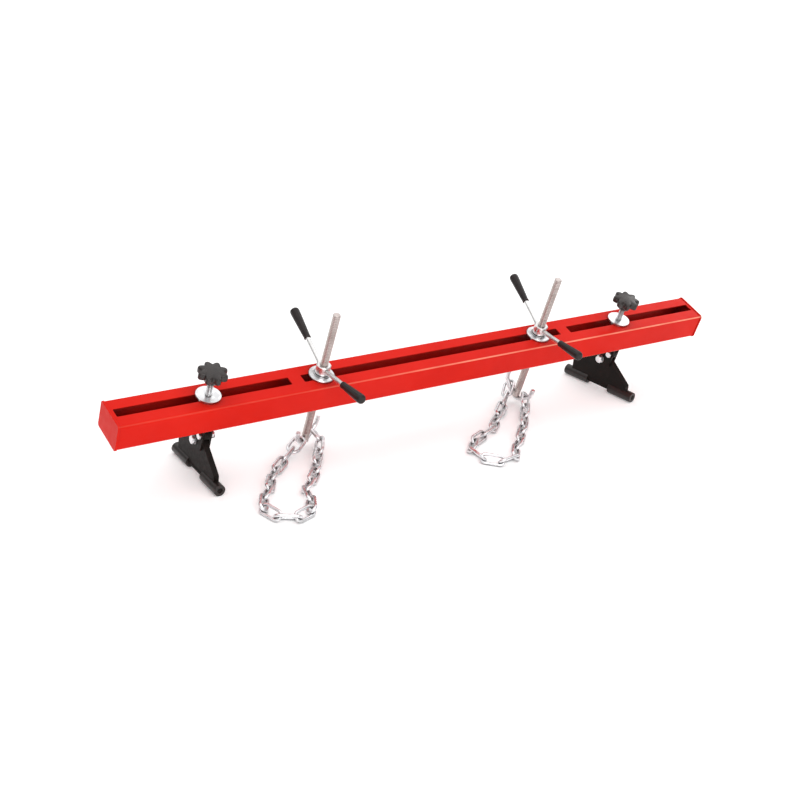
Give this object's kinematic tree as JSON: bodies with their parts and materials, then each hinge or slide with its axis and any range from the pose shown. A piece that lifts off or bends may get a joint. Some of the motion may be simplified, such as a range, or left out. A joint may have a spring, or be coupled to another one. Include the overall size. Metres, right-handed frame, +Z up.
{
  "type": "engine support bar",
  "caption": "Red slotted box-section beam on swivelling clamped feet, with screw lifters whose cross handles raise double hooks that hold loops of steel chain.",
  "frame": {"origin": "on the ground, at the centre of the box that encloses the whole part", "axes": "+X along the beam, towards the end without the near foot; +Z up; -Y is the front, the side the chains lie on and the beam leans towards"},
  "size_m": [1.5, 0.3586, 0.3387],
  "materials": {
    "red_paint": "gloss",
    "black_paint": "satin",
    "zinc_plate": "satin",
    "bright_plate": "gloss",
    "spindle_steel": "satin",
    "knob_plastic": "satin",
    "grip_rubber": "satin",
    "sleeve_rubber": "matte",
    "insert_brass": "satin"
  },
  "bodies": {
    "beam": {"beam_tube": "red_paint", "end_plate_left": "red_paint", "end_plate_right": "red_paint"},
    "foot_1_carriage": {"foot_1_clamp_washer": "zinc_plate"},
    "foot_1_swivel": {"foot_1_yoke": "black_paint", "foot_1_pivot_bolt": "zinc_plate", "foot_1_pivot_washers": "zinc_plate", "foot_1_pivot_nut": "zinc_plate", "foot_1_stop_bolt_and_nut": "zinc_plate", "foot_1_stop_spacer": "black_paint"},
    "foot_1_rocker": {"foot_1_plate": "black_paint", "foot_1_pivot_spacer": "black_paint", "foot_1_rod": "black_paint", "foot_1_rubber_sleeve_front": "sleeve_rubber", "foot_1_rubber_sleeve_rear": "sleeve_rubber"},
    "foot_1_clamp_travel": {"foot_1_knob_insert": "insert_brass"},
    "foot_1_clamp_screw": {"foot_1_star_knob": "knob_plastic", "foot_1_stud": "zinc_plate"},
    "foot_2_carriage": {"foot_2_clamp_washer": "zinc_plate"},
    "foot_2_swivel": {"foot_2_yoke": "black_paint", "foot_2_pivot_bolt": "zinc_plate", "foot_2_pivot_washers": "zinc_plate", "foot_2_pivot_nut": "zinc_plate", "foot_2_stop_bolt_and_nut": "zinc_plate", "foot_2_stop_spacer": "black_paint"},
    "foot_2_rocker": {"foot_2_plate": "black_paint", "foot_2_pivot_spacer": "black_paint", "foot_2_rod": "black_paint", "foot_2_rubber_sleeve_front": "sleeve_rubber", "foot_2_rubber_sleeve_rear": "sleeve_rubber"},
    "foot_2_clamp_travel": {"foot_2_knob_insert": "insert_brass"},
    "foot_2_clamp_screw": {"foot_2_star_knob": "knob_plastic", "foot_2_stud": "zinc_plate"},
    "lifter_1_carriage": {"lifter_1_washer": "zinc_plate", "lifter_1_thrust_washer": "zinc_plate"},
    "lifter_1_handle": {"lifter_1_handle_hub": "bright_plate", "lifter_1_arm_front": "bright_plate", "lifter_1_grip_front": "grip_rubber", "lifter_1_arm_rear": "bright_plate", "lifter_1_grip_rear": "grip_rubber"},
    "lifter_1_screw_hook": {"lifter_1_spindle": "spindle_steel", "lifter_1_hook": "zinc_plate"},
    "lifter_1_chain": {"lifter_1_chain_end_links": "zinc_plate", "lifter_1_chain_links_odd": "zinc_plate", "lifter_1_chain_links_even": "zinc_plate"},
    "lifter_2_carriage": {"lifter_2_washer": "zinc_plate", "lifter_2_thrust_washer": "zinc_plate"},
    "lifter_2_handle": {"lifter_2_handle_hub": "bright_plate", "lifter_2_arm_front": "bright_plate", "lifter_2_grip_front": "grip_rubber", "lifter_2_arm_rear": "bright_plate", "lifter_2_grip_rear": "grip_rubber"},
    "lifter_2_screw_hook": {"lifter_2_spindle": "spindle_steel", "lifter_2_hook": "zinc_plate"},
    "lifter_2_chain": {"lifter_2_chain_end_links": "zinc_plate", "lifter_2_chain_links_odd": "zinc_plate", "lifter_2_chain_links_even": "zinc_plate"}
  },
  "joints": [
    {"name": "foot_1_slide", "type": "slide", "parent": "beam", "child": "foot_1_carriage", "axis": [1, 0, 0], "range_m": [-0.17, 0.071]},
    {"name": "foot_1_turn", "type": "hinge", "parent": "foot_1_carriage", "child": "foot_1_swivel", "pos_m": [-0.546, 0.05187, 0.15862], "axis": [0, -0.2419, 0.9703], "continuous": true},
    {"name": "foot_1_rock", "type": "hinge", "parent": "foot_1_swivel", "child": "foot_1_rocker", "pos_m": [-0.546, 0.07123, 0.081], "axis": [1, 0, 0], "range_deg": [0, 28]},
    {"name": "foot_1_clamp_lift", "type": "slide", "parent": "foot_1_swivel", "child": "foot_1_clamp_travel", "axis": [0, -0.2419, 0.9703], "range_m": [-0.0315, 0.002]},
    {"name": "foot_1_knob_turn", "type": "hinge", "parent": "foot_1_clamp_travel", "child": "foot_1_clamp_screw", "pos_m": [-0.546, 0.05187, 0.15862], "axis": [0, -0.2419, 0.9703], "range_deg": [-6475, 406.4]},
    {"name": "foot_2_slide", "type": "slide", "parent": "beam", "child": "foot_2_carriage", "axis": [1, 0, 0], "range_m": [-0.144, 0.205]},
    {"name": "foot_2_turn", "type": "hinge", "parent": "foot_2_carriage", "child": "foot_2_swivel", "pos_m": [0.514, 0.05187, 0.15862], "axis": [0, -0.2419, 0.9703], "continuous": true},
    {"name": "foot_2_rock", "type": "hinge", "parent": "foot_2_swivel", "child": "foot_2_rocker", "pos_m": [0.514, 0.07123, 0.081], "axis": [0.9703, 0.2347, 0.0585], "range_deg": [0, 28]},
    {"name": "foot_2_clamp_lift", "type": "slide", "parent": "foot_2_swivel", "child": "foot_2_clamp_travel", "axis": [0, -0.2419, 0.9703], "range_m": [-0.0315, 0.002]},
    {"name": "foot_2_knob_turn", "type": "hinge", "parent": "foot_2_clamp_travel", "child": "foot_2_clamp_screw", "pos_m": [0.514, 0.05187, 0.15862], "axis": [0, -0.2419, 0.9703], "range_deg": [-6475, 406.4]},
    {"name": "lifter_1_slide", "type": "slide", "parent": "beam", "child": "lifter_1_carriage", "axis": [1, 0, 0], "range_m": [-0.035, 0.23]},
    {"name": "lifter_1_handle_turn", "type": "hinge", "parent": "lifter_1_carriage", "child": "lifter_1_handle", "pos_m": [-0.29, 0.05187, 0.15862], "axis": [0, -0.2419, 0.9703], "range_deg": [-5395, 8995]},
    {"name": "lifter_1_lift", "type": "slide", "parent": "lifter_1_carriage", "child": "lifter_1_screw_hook", "axis": [0, -0.2419, 0.9703], "range_m": [-0.1, 0.06]},
    {"name": "lifter_1_chain_swing", "type": "hinge", "parent": "lifter_1_screw_hook", "child": "lifter_1_chain", "pos_m": [-0.29, 0.08405, 0.02957], "axis": [0.8829, 0.4555, 0.1136], "range_deg": [-3, 3]},
    {"name": "lifter_2_slide", "type": "slide", "parent": "beam", "child": "lifter_2_carriage", "axis": [1, 0, 0], "range_m": [-0.215, 0.05]},
    {"name": "lifter_2_handle_turn", "type": "hinge", "parent": "lifter_2_carriage", "child": "lifter_2_handle", "pos_m": [0.275, 0.05187, 0.15862], "axis": [0, -0.2419, 0.9703], "range_deg": [-5395, 8995]},
    {"name": "lifter_2_lift", "type": "slide", "parent": "lifter_2_carriage", "child": "lifter_2_screw_hook", "axis": [0, -0.2419, 0.9703], "range_m": [-0.1, 0.06]},
    {"name": "lifter_2_chain_swing", "type": "hinge", "parent": "lifter_2_screw_hook", "child": "lifter_2_chain", "pos_m": [0.275, 0.08405, 0.02957], "axis": [0.2079, -0.9491, -0.2366], "range_deg": [-3, 3]}
  ],
  "couplings": [
    {"joint": "foot_1_clamp_lift", "follows": "foot_1_knob_turn", "m_per_rad": 0.00027852},
    {"joint": "foot_2_clamp_lift", "follows": "foot_2_knob_turn", "m_per_rad": 0.00027852},
    {"joint": "lifter_1_lift", "follows": "lifter_1_handle_turn", "m_per_rad": -0.00063662},
    {"joint": "lifter_2_lift", "follows": "lifter_2_handle_turn", "m_per_rad": -0.00063662}
  ]
}
